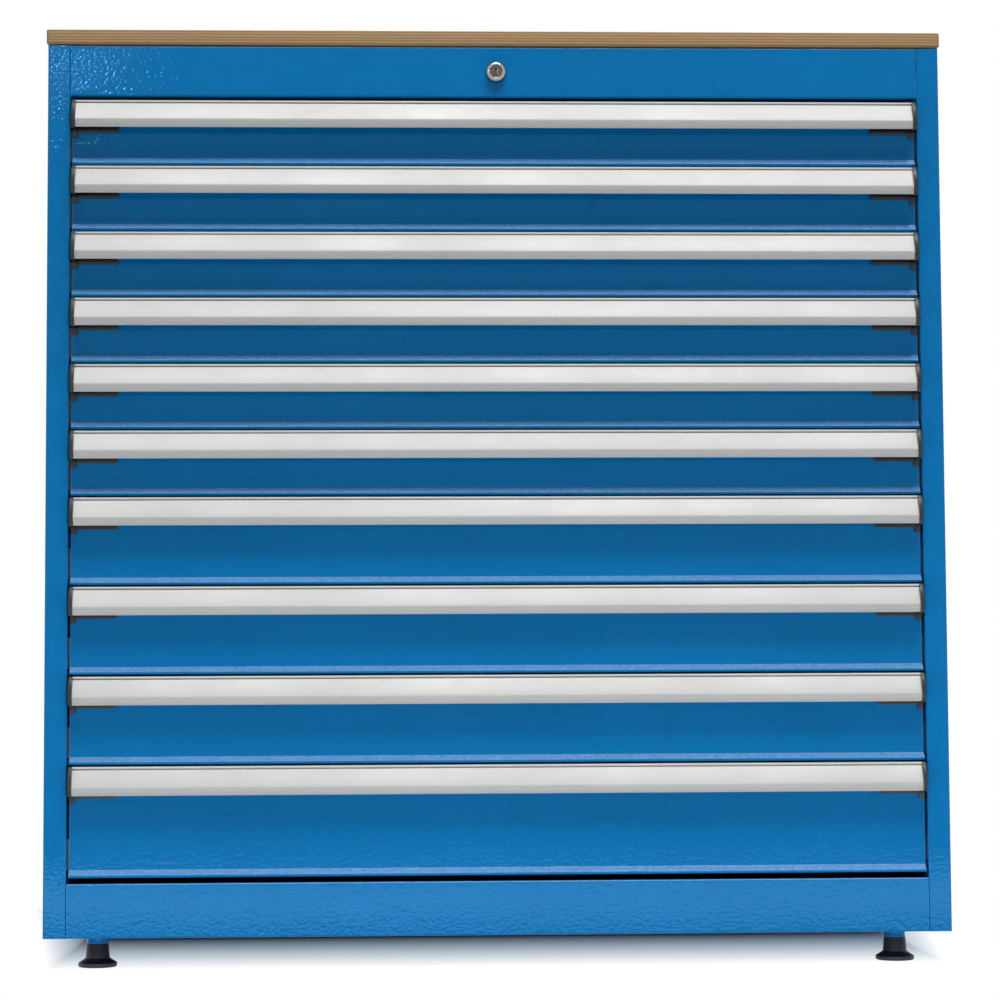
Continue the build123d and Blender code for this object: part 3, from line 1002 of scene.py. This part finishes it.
@dataclass(frozen=True)
class HandleCaps:
    """Pair of moulded caps with a rounded nose, a tongue and a stop block."""

    number: int
    thickness: float = 4.5 * MM
    brow: float = 8.2 * MM
    chin: float = 13.4 * MM
    reach: float = 17.0 * MM
    nose_drop: float = 21.0 * MM
    handle_height: float = 32.0 * MM
    tongue_length: float = 51.5 * MM
    tongue_thickness: float = 2.6 * MM
    tongue_show: float = 3.6 * MM
    block_width: float = 6.5 * MM
    block_thickness: float = 3.2 * MM
    foot_drop: float = 1.0 * MM
    root: float = 4.0 * MM
    rim_easing: float = 0.9 * MM
    rim_steps: int = 3
    rim_crease: float = 40.0
    easing: float = 0.4 * MM
    arc_steps: int = 7

    def build(self, finishes: Finishes, front: float) -> None:
        """Make both caps of one drawer.

        Args:
            finishes: The materials.
            front: Depth of the cabinet's front.
        """
        node = f"drawer_{self.number:02d}_end_caps"
        low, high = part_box(node)
        top, back = high.z, high.y
        under = top - self.handle_height
        foot = under - self.foot_drop
        inner = high.x - self.thickness
        nose = front - self.reach
        mesh = Mesh()
        plane = Matrix.Translation((inner, 0, 0)) @ FACING_SIDE
        tip = top - self.nose_drop
        upper = arc((nose, tip), (front - self.brow, top), self.arc_steps)
        lower = arc((nose, tip), (front - self.chin, foot), self.arc_steps)
        face = mesh.outline([(back, foot), *lower[:0:-1], *upper, (back, top)], plane)
        cap = mesh.extrude(face, Vector((self.thickness, 0, 0)))
        mesh.ease(mesh.rim(cap, X, high.x, self.rim_crease), self.rim_easing, self.rim_steps)
        for size, drop, depth in ((self.tongue_length, self.tongue_show, self.tongue_thickness),
                                  (self.block_width, under - low.z, self.block_thickness)):
            corners = mesh.block(Vector((high.x - size, back - depth, under - drop)),
                                 Vector((high.x, back, under + self.root)))
            mesh.ease(mesh.sharp(corners), self.easing)
        mesh.mirrored()
        mesh.piece(f"caps_{self.number:02d}", f"drawer_{self.number:02d}",
                   finishes.made[Slot.CAP], [node])


@dataclass(frozen=True)
class Worktop:
    """Plywood board with rounded corners, eased edges and a shadow gap under its rim."""

    corner: float = 4.0 * MM
    corner_steps: int = 5
    easing: float = 1.0 * MM
    underside: float = 2.4 * MM
    easing_steps: int = 4
    crease: float = 60.0
    gap: float = 1.7 * MM
    gap_depth: float = 7.0 * MM
    overlap: float = 1.0 * MM

    def build(self, finishes: Finishes) -> None:
        """Make the board.

        Args:
            finishes: The materials.
        """
        low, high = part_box("worktop")
        mesh = Mesh()
        under = low.z + self.gap
        corners = mesh.block(Vector((low.x, low.y, under)), high)
        mesh.ease(mesh.running(corners, Z), self.corner, self.corner_steps)
        for level, radius in ((under, self.underside), (high.z, self.easing)):
            rim = mesh.rim(list(mesh.bm.verts), Z, level, self.crease)
            mesh.ease(rim, radius, self.easing_steps)
        inset = Vector((self.gap_depth, self.gap_depth, 0))
        mesh.block(low + inset, Vector((high.x, high.y, under + self.overlap)) - inset)
        mesh.piece("board", CABINET, finishes.made[Slot.PLYWOOD], ["worktop"])


@dataclass(frozen=True)
class LevellingFeet:
    """Moulded feet: a disc that flares into a slightly tapered stem."""

    disc: float = 21.75 * MM
    side: float = 5.0 * MM
    cone_top: float = 9.5 * MM
    stem_low: float = 13.5 * MM
    stem_high: float = 12.2 * MM
    bore: float = 5.2 * MM

    def profile(self, height: float) -> Profile:
        """Half section of a foot, from its hollow underside to the stud's hole.

        Args:
            height: Height of the foot.

        Returns:
            Radius and height of each corner.
        """
        stations = (  # Radius, height, and the corners near there in millimetres from it
            (0.0, 0.0, ((0.0, 0.4),)),
            (self.disc, 0.0, ((-5.0, 0.4), (-4.4, 0.0), (-1.2, 0.0), (-0.42, 0.42), (0.0, 1.2))),
            (self.disc, self.side, ((0.0, -0.8), (-0.25, -0.25), (-0.9, 0.15))),
            (self.stem_low, self.cone_top, ((2.2, -1.2), (0.7, -0.2), (0.0, 1.0))),
            (self.stem_high, height, ((0.1, -0.8), (-0.2, -0.25), (-0.8, 0.0))),
            (self.bore, height, ((0.0, 0.0), (0.0, -2.0))),
            (0.0, height, ((0.0, -2.0),)),
        )
        return [(radius + out * MM, level + up * MM)
                for radius, level, corners in stations for out, up in corners]

    def build(self, finishes: Finishes) -> None:
        """Make the four feet.

        Args:
            finishes: The materials.
        """
        low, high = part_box("levelling_feet")
        profile = self.profile(high.z - low.z)
        mesh = Mesh()
        for x in (low.x + self.disc, high.x - self.disc):
            for y in (low.y + self.disc, high.y - self.disc):
                mesh.turned(profile, Vector((0, 0, 1)), Vector((x, y, low.z)))
        mesh.piece("feet", CABINET, finishes.made[Slot.FOOT], ["levelling_feet"])


@dataclass(frozen=True)
class LockRing:
    """Chromed nose of the cylinder lock, turned, with a domed shoulder round a lip."""

    bore: float = 7.05 * MM
    lip: float = 0.9 * MM
    lip_edge: float = 0.27 * MM
    barrel: float = 9.5 * MM
    shoulder: float = 6.2 * MM
    dome_steps: int = 8
    turn_steps: int = 64

    def build(self, finishes: Finishes, front: float) -> None:
        """Make the ring.

        Args:
            finishes: The materials.
            front: Depth of the cabinet's front.
        """
        low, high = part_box("lock_housing")
        centre = Vector(((low.x + high.x) / 2, low.y, (low.z + high.z) / 2))
        outer = (high.x - low.x) / 2
        reach, length = front - low.y, high.y - low.y
        inner = self.bore + self.lip
        turns = [math.radians(90) * step / self.dome_steps
                 for step in range(self.dome_steps + 1)]
        dome = [(inner + (outer - inner) * math.sin(turn), self.shoulder * (1 - math.cos(turn)))
                for turn in turns]
        profile = ((self.bore, self.lip), (self.bore + self.lip_edge, self.lip_edge), *dome,
                   (outer, reach), (self.barrel, reach), (self.barrel, length),
                   (self.bore, length), (self.bore, self.lip))
        mesh = Mesh()
        mesh.turned(profile, Vector((0, 1, 0)), centre, self.turn_steps)
        mesh.piece("lock_ring", CABINET, finishes.made[Slot.CHROME],
                   ["lock_housing"])


@dataclass(frozen=True)
class KeyGuide:
    """Bright rib beside the keyway, on the face of the plug that turns."""

    aside: float = 1.5 * MM
    width: float = 1.0 * MM
    height: float = 6.6 * MM
    proud: float = 0.25 * MM
    easing: float = 0.12 * MM

    def build(self, finishes: Finishes) -> None:
        """Make the rib.

        Args:
            finishes: The materials.
        """
        low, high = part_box("lock_plug")
        middle = Vector(((low.x + high.x) / 2 + self.aside, low.y, (low.z + high.z) / 2))
        half = Vector((self.width / 2, self.proud, self.height / 2))
        mesh = Mesh()
        corners = mesh.block(middle - half, middle + half)
        mesh.ease(mesh.sharp(corners), self.easing)
        mesh.piece("key_guide", LOCK, finishes.made[Slot.CHROME])


# Studio


@dataclass(frozen=True)
class Lamp:
    """Rectangular lamp: name, place, aim, size, watts and whether gloss shows it."""

    name: str
    place: Point
    aim: Point
    size: Span
    power: float
    mirrored: bool = True

    def build(self) -> None:
        """Make the lamp."""
        lamp = bpy.data.lights.new(self.name, "AREA")
        lamp.shape = "RECTANGLE"
        lamp.size, lamp.size_y = self.size
        lamp.energy = self.power
        holder = bpy.data.objects.new(self.name, lamp)
        holder.location = self.place
        way = Vector(self.aim) - Vector(self.place)
        holder.rotation_euler = way.to_track_quat("-Z", "Y").to_euler()
        holder.visible_camera = False
        holder.visible_glossy = self.mirrored
        bpy.context.scene.collection.objects.link(holder)


@dataclass(frozen=True)
class Studio:
    """White floor and background, with a painted shadow ramp and a painted bluish tint round the
    cabinet, and soft lamps.
    """

    floor_size: float = 60.0
    floor_colour: Colour = (0.72, 0.78, 0.84)
    # Bluish colour of the glow where the painted shadow ramp sets in: painted light bounced off
    # the blue coat. The shadow fields below place that painted ramp.
    shaded: Colour = (0.55, 0.78, 1.0)
    shadow_half_width: float = 0.4835
    shadow_side: float = 0.06
    shadow_narrowing: float = 0.15
    shadow_front: float = -0.27
    shadow_deepest: float = 0.1
    shadow_rear: float = 0.3
    shadow_back: float = 0.6
    ambient: float = 0.07
    lamps: tuple[Lamp, ...] = (
        Lamp("key", (0.5, -2.9, 6.0), (0.0, -0.25, 0.5), (3.2, 1.6), 292.0),
        Lamp("overhead", (0.1, -1.15, 3.4), (0.0, -0.35, 0.3), (2.4, 0.8), 16.0),
        Lamp("fill", (0.6, -5.2, 1.6), (0.0, -0.3, 0.4), (3.0, 2.0), 2.5, False),
        Lamp("low", (0.0, -0.8, 0.02), (0.0, -0.3, 0.07), (2.0, 0.1), 2.4),
        Lamp("bounce", (0.0, -0.9, 0.012), (0.0, -0.8, 1.0), (2.0, 0.6), 3.0, False),
        Lamp("rear", (0.9, 3.8, 3.0), (0.0, 0.3, 0.55), (2.6, 2.0), 55.0, False),
        Lamp("corner", (-0.92, -3.4, 1.84), (-0.46, -0.3, 1.0), (0.06, 0.06), 1.9),
    )

    def seen_directly(self, bench: NodeBench) -> bpy.types.NodeSocket:
        """One for camera, glossy and transmission rays.

        Args:
            bench: Tree of the material or the world.

        Returns:
            The mask.
        """
        path = bench.add("LightPath")
        mask = path.outputs["Is Camera Ray"]
        for name in ("Is Glossy Ray", "Is Transmission Ray"):
            mask = bench.maths("MAXIMUM", mask, path.outputs[name])
        return mask

    def world(self) -> None:
        """White behind everything, with a plain ambient level."""
        world = bpy.data.worlds.new("studio")
        world.use_nodes = True
        bench = NodeBench(world.node_tree)
        back = world.node_tree.nodes["Background"]
        strength = bench.spread(self.seen_directly(bench), 0.0, 1.0, self.ambient, 1.0)
        bench.feed(back.inputs["Color"], WHITE)
        bench.feed(back.inputs["Strength"], strength)
        bpy.context.scene.world = world

    def floor(self) -> None:
        """Pale floor under the cabinet."""
        bm = bmesh.new()
        bmesh.ops.create_grid(bm, x_segments=1, y_segments=1, size=self.floor_size / 2)
        data = bpy.data.meshes.new("floor")
        bm.to_mesh(data)
        bm.free()
        floor = bpy.data.objects.new("floor", data)
        bpy.context.scene.collection.objects.link(floor)
        data.materials.append(self.floor_material())

    def floor_material(self) -> bpy.types.Material:
        """Matt surface whose white glow fades out near and under the cabinet in a painted shadow
        ramp over the real shadow, turning bluish there as painted bounce light.

        Returns:
            The material.
        """
        material = bpy.data.materials.new("floor")
        material.use_nodes = True
        tree = material.node_tree
        bench = NodeBench(tree)
        matt = tree.nodes["Principled BSDF"]
        bench.feed(matt.inputs["Base Color"], self.floor_colour)
        matt.inputs["Roughness"].default_value = 0.9
        matt.inputs["Specular IOR Level"].default_value = 0.0
        glow = bench.add("Emission")
        parts = bench.add("SeparateXYZ")
        bench.feed(parts.inputs[0], bench.place())
        across, deep = parts.outputs[0], parts.outputs[1]
        # Painted shadow ramp: the white glow fades out towards and under the cabinet, reaching
        # further behind it, so the real shade shows there.
        outward = bench.maths("MULTIPLY_ADD", deep, -self.shadow_narrowing,
                              bench.maths("ABSOLUTE", across))
        beside = bench.spread(outward, self.shadow_half_width,
                              self.shadow_half_width + self.shadow_side)
        ahead = bench.spread(deep, self.shadow_deepest, self.shadow_front)
        behind = bench.spread(deep, self.shadow_rear, self.shadow_back)
        share = bench.maths("MAXIMUM", beside, bench.maths("MAXIMUM", ahead, behind))
        # The glow turns bluish as it fades: painted bounce light in the shadow.
        bench.feed(glow.inputs["Color"], bench.blend(share, self.shaded, WHITE))
        mixed = bench.add("MixShader")
        bench.feed(mixed.inputs[0], bench.maths("MULTIPLY", share, self.seen_directly(bench)))
        tree.links.new(matt.outputs[0], mixed.inputs[1])
        tree.links.new(glow.outputs[0], mixed.inputs[2])
        tree.links.new(mixed.outputs[0], tree.nodes["Material Output"].inputs["Surface"])
        return material

    def light(self) -> None:
        """Soft lamps round the cabinet, and a small one for the lit corner."""
        for lamp in self.lamps:
            lamp.build()


@dataclass(frozen=True)
class Viewpoint:
    """Camera that looks at the cabinet as the photograph does."""

    place: Point = (-0.1153, -3.3223, 0.3107)
    yaw: float = -0.03875
    pitch: float = 0.06949
    roll: float = 0.00517
    lens: float = 97.2
    sensor: float = 36.0

    def build(self) -> None:
        """Make the camera."""
        turn = (Matrix.Rotation(self.yaw, 3, "Z") @ Matrix.Rotation(self.pitch, 3, "X")
                @ Matrix.Rotation(self.roll, 3, "Y"))
        right, ahead, up = turn.col[0], turn.col[1], turn.col[2]
        facing = Matrix((right, up, -ahead)).transposed().to_4x4()
        data = bpy.data.cameras.new("camera")
        data.lens = self.lens
        data.sensor_width = self.sensor
        camera = bpy.data.objects.new("camera", data)
        camera.matrix_world = Matrix.Translation(self.place) @ facing
        bpy.context.scene.collection.objects.link(camera)
        bpy.context.scene.camera = camera


def main() -> None:
    """Dress the cabinet and set up the studio."""
    logging.basicConfig(level=logging.INFO)
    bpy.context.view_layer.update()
    bpy.context.scene.view_settings.view_transform = "Standard"
    Viewpoint().build()
    finishes = Finishes.prepare()
    finishes.dress_frame()
    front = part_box("left_side_panel")[0].y
    for number in range(1, DRAWERS + 1):
        GripHandle(number).build(finishes, front)
        HandleCaps(number).build(finishes, front)
    Worktop().build(finishes)
    LevellingFeet().build(finishes)
    LockRing().build(finishes, front)
    KeyGuide().build(finishes)
    studio = Studio()
    studio.world()
    studio.floor()
    studio.light()


if __name__ == "__main__":
    main()
